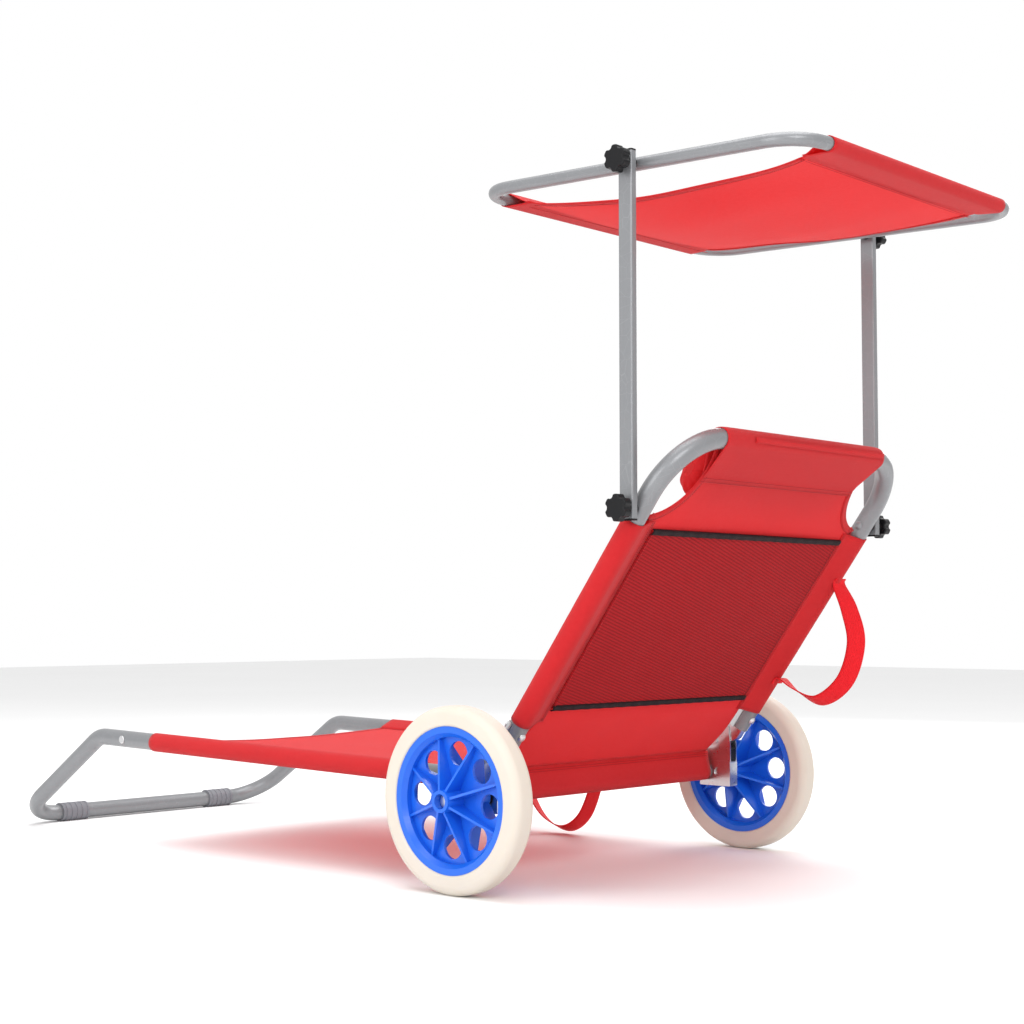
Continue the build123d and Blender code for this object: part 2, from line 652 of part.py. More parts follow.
# ---- all nodes ----
os.makedirs("parts", exist_ok=True)
nodes = {
    "foot_tube": foot_tube(),
    "seat_crossbar": crossbar(),
    "seat_sling": seat_sling(),
    "anchor_flap": anchor_flap(),
    "leg_handle": webbing_handle(leg, leg_handle),
    "back_frame": back_frame(),
    "back_sling": back_sling(),
    "mesh_pocket": mesh_pocket(),
    "pocket_binding_top": pocket_binding(pocket_high - binding_w / 2),
    "pocket_binding_bottom": pocket_binding(pocket_low + binding_w / 2),
    "head_pillow": head_pillow(),
    "back_handle": webbing_handle(back, back_handle),
    "canopy_frame": canopy_frame(),
    "canopy_sling": canopy_sling(),
}
for name, side in sides.items():
    nodes["leg_rail_" + name] = leg_rail(side)
    nodes["rail_end_plug_" + name] = rail_end_plug(side)
    nodes["foot_rivet_" + name] = foot_rivet(side)
    nodes["foot_pad_" + name] = foot_pad(side)
    nodes["hinge_bracket_" + name] = hinge_bracket(side)
    nodes["pivot_bolt_" + name] = pivot_bolt(side)
    nodes["axle_" + name] = axle_stub(side)
    nodes["axle_cap_" + name] = axle_cap(side)
    nodes["wheel_washer_" + name] = wheel_washer(side)
    nodes["tyre_" + name] = tyre(side)
    nodes["hub_" + name] = hub(side)
    nodes["hinge_arm_" + name] = hinge_arm(side)
    nodes["arm_bolt_" + name] = arm_bolt(side)
    nodes["post_" + name] = post(side)
    nodes["post_plugs_" + name] = post_plugs(side)
    low = (axle_y + post_bolt_y, post_bolt_z)
    high = (axle_y + post_bolt_y, top_bolt_z)
    nodes["post_bolt_" + name] = clamp_bolt(side, rail_centre, tube_r, *low)
    nodes["post_spacer_" + name] = clamp_spacer(side, rail_centre, tube_r, *low)
    nodes["canopy_bolt_" + name] = clamp_bolt(side, canopy_x, canopy_r, *high)
    nodes["canopy_spacer_" + name] = clamp_spacer(side, canopy_x, canopy_r, *high)
    nodes["lower_knob_" + name] = star_knob(side, *low)
    nodes["upper_knob_" + name] = star_knob(side, *high)

for name, shape in nodes.items():
    export_step(shape, f"parts/{name}.step")
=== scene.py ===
import math
import bpy
import numpy as np
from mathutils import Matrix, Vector, noise


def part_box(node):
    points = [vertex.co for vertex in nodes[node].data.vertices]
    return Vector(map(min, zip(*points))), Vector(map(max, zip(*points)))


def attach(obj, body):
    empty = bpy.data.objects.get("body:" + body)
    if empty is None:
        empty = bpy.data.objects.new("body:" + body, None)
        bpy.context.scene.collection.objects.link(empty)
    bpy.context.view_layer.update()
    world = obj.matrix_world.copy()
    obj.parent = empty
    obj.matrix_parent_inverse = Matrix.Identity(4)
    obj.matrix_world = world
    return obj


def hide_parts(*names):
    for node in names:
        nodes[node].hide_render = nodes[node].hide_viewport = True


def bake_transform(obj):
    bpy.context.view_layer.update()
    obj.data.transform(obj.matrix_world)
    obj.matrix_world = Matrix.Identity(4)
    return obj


# Beach cart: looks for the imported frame. Metres, +Z up, head end at +Y, left side at +X.

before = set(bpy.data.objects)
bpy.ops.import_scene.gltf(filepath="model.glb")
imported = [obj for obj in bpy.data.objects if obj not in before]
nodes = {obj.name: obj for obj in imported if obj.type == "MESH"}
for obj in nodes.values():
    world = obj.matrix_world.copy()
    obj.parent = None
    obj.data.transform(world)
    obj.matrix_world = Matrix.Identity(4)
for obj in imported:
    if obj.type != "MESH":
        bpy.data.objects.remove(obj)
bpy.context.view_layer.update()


# Places read from the frame.
def centre(node):
    low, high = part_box(node)
    return (low + high) / 2


tube = {"frame": 0.0125, "canopy": 0.008, "cloth": 0.0008}
axle = centre("axle_left")
railX = centre("leg_rail_left").x
lowTape = centre("pocket_binding_bottom")
highTape = centre("pocket_binding_top")
backUp = Vector((0, highTape.y - lowTape.y, highTape.z - lowTape.z)).normalized()
backOut = Vector((0, -backUp.z, backUp.y))
backOrigin = Vector((0, lowTape.y, lowTape.z)) - backUp * 0.0375 + backOut * 0.00165
rivet = centre("foot_rivet_left")
legOrigin = Vector((0, axle.y, axle.z + 0.0205))
legAlong = (legOrigin - Vector((0, rivet.y, rivet.z))).normalized()
legUp = Vector((0, -legAlong.z, legAlong.y))
canopyLow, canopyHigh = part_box("canopy_frame")
canopyFront = Vector((0, canopyLow.y + tube["canopy"], canopyHigh.z - tube["canopy"]))
canopyRear = Vector((0, canopyHigh.y - tube["canopy"], canopyLow.z + tube["canopy"]))
canopyAlong = (canopyRear - canopyFront).normalized()
canopyUp = Vector((0, -canopyAlong.z, canopyAlong.y))


def onBack(x, s, d):
    return Vector((x, 0, 0)) + backOrigin + backUp * s + backOut * d


def onLeg(x, s, d):
    return Vector((x, 0, 0)) + legOrigin + legAlong * s + legUp * d


def onCanopy(x, s, d):
    return Vector((x, 0, 0)) + canopyFront + canopyAlong * s + canopyUp * d


# Node material helpers.
def newMaterial(name):
    material = bpy.data.materials.new(name)
    material.use_nodes = True
    tree = material.node_tree
    return material, tree, tree.nodes["Principled BSDF"]


def put(tree, kind, **settings):
    made = tree.nodes.new(kind)
    for key, value in settings.items():
        setattr(made, key, value)
    return made


def mathNode(tree, operation, a, b=None):
    made = put(tree, "ShaderNodeMath", operation=operation)
    for index, value in enumerate((a, b)):
        if value is None:
            continue
        if isinstance(value, (int, float)):
            made.inputs[index].default_value = value
        else:
            tree.links.new(value, made.inputs[index])
    return made.outputs[0]


def noiseValue(tree, coords, scale, detail=3.0, roughness=0.55):
    made = put(tree, "ShaderNodeTexNoise")
    tree.links.new(coords, made.inputs["Vector"])
    made.inputs["Scale"].default_value = scale
    made.inputs["Detail"].default_value = detail
    made.inputs["Roughness"].default_value = roughness
    return made.outputs["Fac"]


def between(tree, value, low, high):
    made = put(tree, "ShaderNodeMapRange")
    tree.links.new(value, made.inputs["Value"])
    made.inputs["To Min"].default_value = low
    made.inputs["To Max"].default_value = high
    return made.outputs["Result"]


def colourMix(tree, factor, a, b):
    made = put(tree, "ShaderNodeMix", data_type="RGBA")
    if isinstance(factor, (int, float)):
        made.inputs[0].default_value = factor
    else:
        tree.links.new(factor, made.inputs[0])
    for index, value in ((6, a), (7, b)):
        if isinstance(value, tuple):
            made.inputs[index].default_value = (*value, 1.0)
        else:
            tree.links.new(value, made.inputs[index])
    return made.outputs[2]


def bumpInto(tree, bsdf, height, strength, distance):
    made = put(tree, "ShaderNodeBump")
    made.inputs["Strength"].default_value = strength
    made.inputs["Distance"].default_value = distance
    tree.links.new(height, made.inputs["Height"])
    tree.links.new(made.outputs["Normal"], bsdf.inputs["Normal"])
    return made.outputs["Normal"]


# Two sine waves along a cloth's own directions.
def uvWaves(tree, pitchU, pitchV):
    uv = put(tree, "ShaderNodeUVMap", uv_map="cloth")
    parts = put(tree, "ShaderNodeSeparateXYZ")
    tree.links.new(uv.outputs[0], parts.inputs[0])
    u = mathNode(tree, "SINE", mathNode(tree, "MULTIPLY", parts.outputs[0], 2 * math.pi / pitchU))
    v = mathNode(tree, "SINE", mathNode(tree, "MULTIPLY", parts.outputs[1], 2 * math.pi / pitchV))
    return uv.outputs[0], u, v


canvasLook = {"light": (0.78, 0.030, 0.036), "deep": (0.62, 0.018, 0.024), "glow": (1.0, 0.10, 0.10),
              "pitch": 0.0011, "through": 0.42}


# Plain woven polyester that lets some light through.
def canvasMaterial(name, through):
    material, tree, bsdf = newMaterial(name)
    uv, u, v = uvWaves(tree, canvasLook["pitch"], canvasLook["pitch"])
    weave = mathNode(tree, "MULTIPLY", u, v)
    cloud = noiseValue(tree, uv, 9.0)
    slub = noiseValue(tree, uv, 160.0, 2.0)
    shade = mathNode(tree, "ADD", between(tree, cloud, 0.0, 0.5), between(tree, slub, 0.0, 0.35))
    colour = colourMix(tree, shade, canvasLook["light"], canvasLook["deep"])
    thread = colourMix(tree, between(tree, weave, 0.0, 0.16), colour, (0.30, 0.004, 0.006))
    tree.links.new(thread, bsdf.inputs["Base Color"])
    tree.links.new(between(tree, slub, 0.62, 0.82), bsdf.inputs["Roughness"])
    bsdf.inputs["Sheen Weight"].default_value = 0.12
    bsdf.inputs["Sheen Roughness"].default_value = 0.5
    bsdf.inputs["Specular IOR Level"].default_value = 0.25
    height = mathNode(tree, "ADD", weave, mathNode(tree, "MULTIPLY", slub, 0.8))
    normal = bumpInto(tree, bsdf, height, 0.30, 0.00035)
    glow = put(tree, "ShaderNodeBsdfTranslucent")
    tree.links.new(colourMix(tree, 0.6, thread, canvasLook["glow"]), glow.inputs["Color"])
    tree.links.new(normal, glow.inputs["Normal"])
    mix = put(tree, "ShaderNodeMixShader")
    mix.inputs[0].default_value = through
    tree.links.new(bsdf.outputs[0], mix.inputs[1])
    tree.links.new(glow.outputs[0], mix.inputs[2])
    tree.links.new(mix.outputs[0], tree.nodes["Material Output"].inputs["Surface"])
    return material


# Warp-knit mesh: slanting rows of small openings, painted dark as the shade seen through them.
def knitMaterial():
    material, tree, bsdf = newMaterial("knitMesh")
    uv = put(tree, "ShaderNodeUVMap", uv_map="cloth")
    parts = put(tree, "ShaderNodeSeparateXYZ")
    tree.links.new(uv.outputs[0], parts.inputs[0])
    slant = mathNode(tree, "ADD", parts.outputs[0], mathNode(tree, "MULTIPLY", parts.outputs[1], 0.55))
    rise = mathNode(tree, "SUBTRACT", parts.outputs[1], mathNode(tree, "MULTIPLY", parts.outputs[0], 0.3))
    a = mathNode(tree, "SINE", mathNode(tree, "MULTIPLY", slant, 2 * math.pi / 0.0028))
    b = mathNode(tree, "SINE", mathNode(tree, "MULTIPLY", rise, 2 * math.pi / 0.0042))
    pattern = mathNode(tree, "ADD", mathNode(tree, "MULTIPLY", a, 0.65), mathNode(tree, "MULTIPLY", b, 0.35))
    hole = put(tree, "ShaderNodeMapRange")
    tree.links.new(pattern, hole.inputs["Value"])
    hole.inputs["From Min"].default_value = -0.05
    hole.inputs["From Max"].default_value = 0.55
    hole.clamp = True
    cloud = noiseValue(tree, uv.outputs[0], 7.0)
    yarn = colourMix(tree, cloud, (0.62, 0.014, 0.020), (0.48, 0.010, 0.014))
    # Painted shade: the openings take a dark red that stands for the shaded cloth behind the knit.
    tree.links.new(colourMix(tree, hole.outputs[0], (0.16, 0.004, 0.006), yarn), bsdf.inputs["Base Color"])
    bsdf.inputs["Roughness"].default_value = 0.8
    bsdf.inputs["Specular IOR Level"].default_value = 0.12
    bsdf.inputs["Sheen Weight"].default_value = 0.02
    bumpInto(tree, bsdf, hole.outputs[0], 0.6, 0.0006)
    return material


# Ribbed woven tape.
def webbingMaterial(name, light, deep, pitch=0.0022):
    material, tree, bsdf = newMaterial(name)
    uv, u, v = uvWaves(tree, pitch, pitch * 0.8)
    rib = mathNode(tree, "ADD", mathNode(tree, "MULTIPLY", u, 0.6), mathNode(tree, "MULTIPLY", v, 0.4))
    slub = noiseValue(tree, uv, 210.0, 2.0)
    colour = colourMix(tree, between(tree, rib, 0.0, 0.6), light, deep)
    tree.links.new(colourMix(tree, between(tree, slub, 0.0, 0.3), colour, deep), bsdf.inputs["Base Color"])
    tree.links.new(between(tree, slub, 0.5, 0.75), bsdf.inputs["Roughness"])
    bsdf.inputs["Specular IOR Level"].default_value = 0.15
    bsdf.inputs["Sheen Weight"].default_value = 0.02
    bumpInto(tree, bsdf, rib, 0.5, 0.0005)
    return material


# Coated or plated metal: fine orange peel, faint handling marks and dust.
def metalMaterial(name, light, deep, metallic, rough, grain, bump, coat=0.0):
    material, tree, bsdf = newMaterial(name)
    place = put(tree, "ShaderNodeTexCoord").outputs["Object"]
    cloud = noiseValue(tree, place, 14.0)
    fine = noiseValue(tree, place, grain, 4.0)
    marks = put(tree, "ShaderNodeTexVoronoi", feature="DISTANCE_TO_EDGE")
    tree.links.new(place, marks.inputs["Vector"])
    marks.inputs["Scale"].default_value = 55.0
    scratch = mathNode(tree, "LESS_THAN", marks.outputs["Distance"], 0.012)
    worn = mathNode(tree, "MULTIPLY", scratch, between(tree, cloud, 0.0, 0.35))
    colour = colourMix(tree, between(tree, mathNode(tree, "ADD", cloud, fine), 0.0, 1.0), light, deep)
    bare = tuple(min(1.0, c * 1.35) for c in light)
    tree.links.new(colourMix(tree, worn, colour, bare), bsdf.inputs["Base Color"])
    bsdf.inputs["Metallic"].default_value = metallic
    tree.links.new(between(tree, fine, rough * 0.8, rough * 1.3), bsdf.inputs["Roughness"])
    bsdf.inputs["Coat Weight"].default_value = coat
    bumpInto(tree, bsdf, fine, bump, 0.0003)
    return material


# Moulded plastic or foam.
def plasticMaterial(name, light, deep, rough, grain, bump, through=0.0):
    material, tree, bsdf = newMaterial(name)
    place = put(tree, "ShaderNodeTexCoord").outputs["Object"]
    cloud = noiseValue(tree, place, 11.0)
    fine = noiseValue(tree, place, grain, 5.0)
    tree.links.new(colourMix(tree, between(tree, cloud, 0.0, 1.0), light, deep), bsdf.inputs["Base Color"])
    tree.links.new(between(tree, fine, rough * 0.8, rough * 1.25), bsdf.inputs["Roughness"])
    bsdf.inputs["Specular IOR Level"].default_value = 0.45
    bsdf.inputs["Subsurface Weight"].default_value = through
    bsdf.inputs["Subsurface Radius"].default_value = (0.004, 0.003, 0.002)
    bumpInto(tree, bsdf, fine, bump, 0.0005)
    return material


canvas = canvasMaterial("canvas", canvasLook["through"])
knit = knitMaterial()
webbing = webbingMaterial("webbing", (0.80, 0.014, 0.022), (0.50, 0.006, 0.010))
binding = webbingMaterial("bindingTape", (0.012, 0.004, 0.006), (0.004, 0.002, 0.002), 0.0014)
threadRed = plasticMaterial("sewingThread", (0.55, 0.012, 0.018), (0.42, 0.008, 0.012), 0.6, 700.0, 0.2)
powderCoat = metalMaterial("powderCoat", (0.270, 0.275, 0.285), (0.215, 0.220, 0.230), 0.35, 0.36, 900.0,
                           0.10, 0.15)
zinc = metalMaterial("zincPlate", (0.80, 0.80, 0.80), (0.62, 0.62, 0.63), 1.0, 0.28, 260.0, 0.12)
bluePlastic = plasticMaterial("bluePlastic", (0.010, 0.135, 0.72), (0.008, 0.110, 0.62), 0.30, 420.0, 0.06)
foam = plasticMaterial("foamTyre", (0.66, 0.60, 0.53), (0.60, 0.54, 0.46), 0.62, 520.0, 0.35, 0.15)
blackPlastic = plasticMaterial("blackPlastic", (0.004, 0.004, 0.005), (0.008, 0.008, 0.009), 0.42, 380.0,
                               0.12)
blackPlastic.node_tree.nodes["Principled BSDF"].inputs["Specular IOR Level"].default_value = 0.22
greyPlastic = plasticMaterial("greyPlastic", (0.20, 0.20, 0.22), (0.15, 0.15, 0.17), 0.5, 380.0, 0.15)
print("materials made")

finishes = {
    "powderCoat": (powderCoat, ["foot_tube", "leg_rail", "back_frame", "post_left", "post_right",
                                "canopy_frame", "seat_crossbar", "post_bolt", "canopy_bolt"]),
    "zinc": (zinc, ["hinge_bracket", "hinge_arm", "arm_bolt", "pivot_bolt", "axle", "foot_rivet"]),
    "blue": (bluePlastic, ["hub"]),
    "foam": (foam, ["tyre"]),
    "black": (blackPlastic, ["lower_knob", "upper_knob", "post_plugs", "rail_end_plug", "post_spacer",
                             "canopy_spacer", "wheel_washer"]),
    "grey": (greyPlastic, ["foot_pad"]),
}
for material, starts in finishes.values():
    for name, piece in nodes.items():
        if any(name.startswith(start) for start in starts):
            piece.data.materials.clear()
            piece.data.materials.append(material)


# Mesh helpers.
# Vertices, quads and UVs of one grid of points.
def sheetPatch(rows, uv):
    rows = np.array(rows, float)
    count, across = rows.shape[:2]
    index = np.arange(count * across).reshape(count, across)
    quads = np.stack([index[:-1, :-1], index[:-1, 1:], index[1:, 1:], index[1:, :-1]], -1).reshape(-1, 4)
    return rows.reshape(-1, 3), quads, np.array(uv, float).reshape(-1, 2)


# One mesh object from several grids, with a UV map in metres, thickened and with smooth shading.
def pieceFrom(name, patches, material, thickness=0.0):
    points, faces, coords, start = [], [], [], 0
    for p, q, uv in patches:
        points.append(p)
        faces.append(q + start)
        coords.append(uv)
        start += len(p)
    points, faces, coords = np.vstack(points), np.vstack(faces), np.vstack(coords)
    mesh = bpy.data.meshes.new(name)
    mesh.from_pydata(points.tolist(), [], faces.tolist())
    layer = mesh.uv_layers.new(name="cloth")
    corner = np.zeros(len(mesh.loops), np.int32)
    mesh.loops.foreach_get("vertex_index", corner)
    layer.data.foreach_set("uv", coords[corner].astype(np.float32).ravel())
    piece = bpy.data.objects.new(name, mesh)
    bpy.context.scene.collection.objects.link(piece)
    mesh.materials.append(material)
    if thickness:
        solid = piece.modifiers.new("thickness", "SOLIDIFY")
        solid.thickness = thickness
        solid.offset = 0.0
        applied(piece)
    piece.data.polygons.foreach_set("use_smooth", [True] * len(piece.data.polygons))
    return piece


# The piece's modifiers made part of its mesh.
def applied(piece):
    bpy.context.view_layer.update()
    graph = bpy.context.evaluated_depsgraph_get()
    made = bpy.data.meshes.new_from_object(piece.evaluated_get(graph))
    made.name = piece.name
    piece.modifiers.clear()
    piece.data = made


# Rows of points: path gives (s, d) along the cloth and width the half width at each.
def gridOver(place, xs, path, width):
    rows, uv, run = [], [], 0.0
    for i, (s, d) in enumerate(path):
        if i:
            run += math.hypot(s - path[i - 1][0], d - path[i - 1][1])
        rows.append([place(x * width[i], s, d) for x in xs])
        uv.append([(x * width[i], run) for x in xs])
    return rows, uv


def spread(low, high, count):
    return [low + (high - low) * i / (count - 1) for i in range(count)]


def wobble(p, size, scale, seed=0.0):
    return size * noise.noise(Vector((p[0] * scale + seed, p[1] * scale - seed, p[2] * scale + 2 * seed)))


# A sleeve round a tube at (0, 0), closed by a seam at (-reach, 0), from the seam over the top and back.
def tearDrop(radius, reach):
    turn = math.acos(radius / reach)
    start, stop = math.pi - turn, -math.pi + turn
    path = [(-reach, 0.0), (-reach * 0.86, radius * 0.22)]
    path += [(radius * math.cos(a), radius * math.sin(a)) for a in spread(start, stop, 19)]
    path += [(-reach * 0.86, -radius * 0.22), (-reach, -0.0012)]
    return path


sleeve = {"reach": 0.030, "hem": 0.039, "radius": tube["frame"] + 0.0010, "tuck": 0.012,
          "stitchRows": (0.0335, 0.0365)}


# The sleeve on one side tube, with its flat hem below the panel.
def sideSleeve(place, side, low, high, rows=46):
    section = [(railX + x, d) for x, d in tearDrop(sleeve["radius"], sleeve["reach"])]
    section.append((railX - sleeve["hem"], -0.0013))
    made, uv = [], []
    for s in spread(low, high, rows):
        row, coords, run = [], [], 0.0
        for i, (x, d) in enumerate(section):
            if i:
                run += math.hypot(x - section[i - 1][0], d - section[i - 1][1])
            p = place(side * x, s, d)
            push = wobble(p, 0.0006, 22.0, 3.0) if 2 < i < len(section) - 3 else 0.0
            row.append(p + Vector((side * abs(push), 0, 0)))
            coords.append((run, s))
        made.append(row)
        uv.append(coords)
    if side < 0:
        made, uv = [r[::-1] for r in made], [r[::-1] for r in uv]
    return sheetPatch(made, uv)


# A folded hem along an edge: a narrow second layer on the cloth's face.
def hemStrip(line, inward, out, width=0.009, lift=0.0009):
    rows, uv, run = [], [], 0.0
    for i, p in enumerate(line):
        if i:
            run += (p - line[i - 1]).length
        edge = p - inward[i] * 0.0007
        rows.append([edge, edge + out[i] * lift, p + inward[i] * width * 0.5 + out[i] * lift,
                     p + inward[i] * width + out[i] * lift * 0.7])
        uv.append([(0.0, run), (0.0005, run), (width / 2, run), (width, run)])
    return sheetPatch(rows, uv)


seams = {"leg_frame": [], "backrest": [], "canopy": []}


# Camera, light and floor.
view = {"place": (1.8847, 1.8071, 0.3362), "aim": (-0.7402, -0.6698, 0.0596), "lens": 62.63}
camera = bpy.data.objects.new("camera", bpy.data.cameras.new("camera"))
bpy.context.scene.collection.objects.link(camera)
camera.location = view["place"]
camera.rotation_euler = Vector(view["aim"]).to_track_quat("-Z", "Y").to_euler()
camera.data.lens = view["lens"]
camera.data.sensor_width = 36.0
bpy.context.scene.camera = camera
bpy.context.scene.view_settings.view_transform = "Standard"

lamps = {
    "overhead": ((0.2, 0.3, 3.2), (0.0, 0.1, 0.3), 2.6, 60.0),
    "headSide": ((2.2, 3.0, 2.0), (0.0, 0.4, 0.5), 1.6, 42.0),
    "cameraSide": ((3.2, 0.2, 1.2), (0.0, 0.1, 0.3), 1.8, 30.0),
    "farSide": ((-2.8, -0.6, 1.8), (0.0, 0.2, 0.5), 1.8, 36.0),
}
for name, (place, aim, size, power) in lamps.items():
    lamp = bpy.data.objects.new(name, bpy.data.lights.new(name, "AREA"))
    lamp.data.size = size
    lamp.data.energy = power
    lamp.location = place
    lamp.rotation_euler = (Vector(aim) - Vector(place)).to_track_quat("-Z", "Y").to_euler()
    bpy.context.scene.collection.objects.link(lamp)

world = bpy.data.worlds.new("studio")
bpy.context.scene.world = world
world.use_nodes = True
sky = world.node_tree
sky.nodes["Background"].inputs[0].default_value = (1.0, 1.0, 1.0, 1.0)
sky.links.new(between(sky, put(sky, "ShaderNodeLightPath").outputs["Is Camera Ray"], 0.90, 1.0),
              sky.nodes["Background"].inputs[1])

floorMaterial, floorTree, floorShader = newMaterial("paleFloor")
floorPlace = put(floorTree, "ShaderNodeTexCoord").outputs["Object"]
floorCloud = noiseValue(floorTree, floorPlace, 1.5)
floorTree.links.new(colourMix(floorTree, floorCloud, (0.93, 0.93, 0.93), (0.90, 0.90, 0.90)),
                    floorShader.inputs["Base Color"])
floorShader.inputs["Roughness"].default_value = 0.9
sweep = []
for x in spread(-9.0, 9.0, 7):
    sweep.append([(x, y, 0.0) for y in spread(-9.0, 9.0, 19)])
floor = pieceFrom("floor", [sheetPatch(sweep, [[(p[0], p[1]) for p in row] for row in sweep])], floorMaterial)
floor.data.flip_normals()
print("camera and floor made")


# Back cloth.
backCloth = {
    "seamS": -0.077, "seamD": 0.0175, "sleeveLow": 0.015, "sleeveHigh": 0.316, "bar": 0.436, "hemLine": 0.383,
    "hemEnd": 0.375, "barHalf": 0.176, "hollowX": 0.240, "hollowS": 0.395, "hollowR": 0.073, "sag": 0.004,
    "flapTurn": 62.0, "flapHalf": 0.172, "flapLift": 0.0006, "bend": 0.083, "straight": 0.164,
}


def backHalf(s):
    c = backCloth
    seam = railX - sleeve["reach"]
    if s < c["sleeveLow"]:
        return seam + sleeve["tuck"] * min(1.0, (c["sleeveLow"] - s) / 0.05)
    if s < c["sleeveHigh"]:
        return seam
    off = s - c["hollowS"]
    if abs(off) >= c["hollowR"]:
        return seam + sleeve["tuck"] * min(1.0, (s - c["sleeveHigh"]) / 0.006)
    hollow = c["hollowX"] - math.sqrt(c["hollowR"] ** 2 - off ** 2)
    return min(seam + sleeve["tuck"], max(0.150, hollow), 0.232)


def backClothPath():
    c = backCloth
    path, width = [], []
    for t in spread(0.0, 1.0, 14)[:-1]:
        s = c["seamS"] + (c["sleeveLow"] - c["seamS"]) * t
        path.append((s, c["seamD"] * (1 - t) ** 1.15))
        width.append(backHalf(s))
    for s in spread(c["sleeveLow"], c["sleeveHigh"], 52)[:-1] + spread(c["sleeveHigh"], c["hemLine"], 20):
        path.append((s, 0.0))
        width.append(backHalf(s))
    start = len(path)
    for s, d in tearDrop(sleeve["radius"], c["bar"] - c["hemLine"])[1:]:
        path.append((c["bar"] + s, d))
        width.append(max(backHalf(min(c["bar"] + s, 0.426)), 0.0))
    path.append((c["hemEnd"], -0.0014))
    width.append(backHalf(c["hemEnd"]))
    for i in range(start, len(path)):
        if path[i][0] > 0.424:
            width[i] = c["barHalf"]
    return path, width


def makeBackCloth():
    c = backCloth
    path, width = backClothPath()
    xs = [math.sin(x * math.pi / 2) * 0.35 + x * 0.65 for x in spread(-1.0, 1.0, 73)]
    rows, uv = gridOver(onBack, xs, path, width)
    bend, straight = c["bend"], c["straight"]
    for i, (s, d) in enumerate(path):
        for j, x in enumerate(xs):
            across = abs(x) * width[i]
            p = rows[i][j]
            if s > 0.40 and across > straight:
                p -= backUp * (bend - math.sqrt(bend ** 2 - (across - straight) ** 2))
            free = max(0.0, 1 - (across / width[i]) ** 2)
            if c["sleeveLow"] < s < c["hemLine"] and abs(d) < 1e-6:
                run = math.sin(math.pi * (s - c["sleeveLow"]) / (c["hemLine"] - c["sleeveLow"]))
                p -= backOut * (-c["sag"] * free * run + wobble(p, 0.0012, 9.0, 5.0) * free)
            elif s <= c["sleeveLow"]:
                p -= backOut * wobble(p, 0.0016, 12.0, 1.0) * free
    patches = [sheetPatch(rows, uv)]
    patches += [sideSleeve(onBack, side, c["sleeveLow"], c["sleeveHigh"]) for side in (1, -1)]
    for side in (1, -1):
        line, inward, out = [], [], []
        for s in spread(c["sleeveHigh"] + 0.001, 0.424, 40):
            line.append(onBack(side * backHalf(s), s, 0.0))
            slope = (backHalf(s + 0.001) - backHalf(s - 0.001)) / 0.002
            inward.append((Vector((-side, 0, 0)) + backUp * max(-2.0, min(2.0, slope))).normalized())
            out.append(-backOut)
        patches.append(hemStrip(line, inward, out))
        seams["backrest"].append([p + inward[i] * 0.0072 - backOut * 0.0018 for i, p in enumerate(line)])
        for inset in sleeve["stitchRows"]:
            seams["backrest"].append([onBack(side * (railX - inset), s, -0.0022)
                                      for s in spread(c["sleeveLow"] + 0.003, c["sleeveHigh"] - 0.002, 60)])
            seams["backrest"].append([onBack(side * (railX - inset), s, 0.0012)
                                      for s in spread(c["sleeveLow"] + 0.003, c["sleeveHigh"] - 0.002, 60)])
    for s in (c["hemLine"] - 0.0015, c["hemEnd"] + 0.0015):
        half = backHalf(s) - 0.003
        seams["backrest"].append([onBack(x, s, -0.0024) for x in spread(-half, half, 50)])
    lean = math.radians(c["flapTurn"])
    around = sleeve["radius"] + c["flapLift"]
    flap = [onBack(x, c["bar"] + around * math.cos(lean), -around * math.sin(lean))
            for x in spread(-c["flapHalf"], c["flapHalf"] - 0.05, 50)]
    down = (-backUp * math.sin(lean) - backOut * math.cos(lean)).normalized()
    face = (backUp * math.cos(lean) - backOut * math.sin(lean)).normalized()
    patches.append(hemStrip(flap, [-down] * len(flap), [face] * len(flap), 0.006, 0.0012))
    piece = pieceFrom("backCloth", patches, canvas, tube["cloth"])
    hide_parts("back_sling")
    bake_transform(piece)


makeBackCloth()
print("back cloth made")


# Mesh pocket and its tapes.
pocket = {"half": 0.208, "low": 0.0375, "high": 0.3025, "depth": -0.0026, "tape": 0.0075}


def makePocket():
    rows, uv = [], []
    for s in spread(pocket["low"], pocket["high"], 48):
        row = []
        for x in spread(-pocket["half"], pocket["half"], 60):
            rise = math.sin(math.pi * (s - pocket["low"]) / (pocket["high"] - pocket["low"]))
            belly = (1 - (x / pocket["half"]) ** 2) * rise
            p = onBack(x, s, pocket["depth"] - 0.0012 * belly)
            row.append(p - backOut * wobble(p, 0.0010, 14.0, 8.0) * belly)
        rows.append(row)
        uv.append([(x, s) for x in spread(-pocket["half"], pocket["half"], 60)])
    piece = pieceFrom("pocketMesh", [sheetPatch(rows, uv)], knit, 0.0007)
    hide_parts("mesh_pocket")
    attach(piece, "backrest")
    for side in (1, -1):
        seams["backrest"].append([onBack(side * (pocket["half"] - 0.003), s, -0.0040)
                                  for s in spread(pocket["low"], pocket["high"], 50)])


# Binding folded over the pocket's edge.
def makeTape(name, node, s):
    half, thick = pocket["tape"] / 2, 0.0011
    section = [(-half, -0.0020), (-half, -0.0038), (-half * 0.8, -0.0038 - thick), (0.0, -0.0041 - thick),
               (half * 0.8, -0.0038 - thick), (half, -0.0038), (half, -0.0020)]
    rows, uv = [], []
    for x in spread(-pocket["half"], pocket["half"], 90):
        ripple = 0.0003 * math.sin(x * 260.0)
        rows.append([onBack(x, s + a, d + (ripple if 0 < i < 6 else 0.0))
                     for i, (a, d) in enumerate(section)])
        uv.append([(x, 0.0016 * i) for i in range(len(section))])
    piece = pieceFrom(name, [sheetPatch(rows, uv)], binding, 0.0005)
    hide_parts(node)
    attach(piece, "backrest")


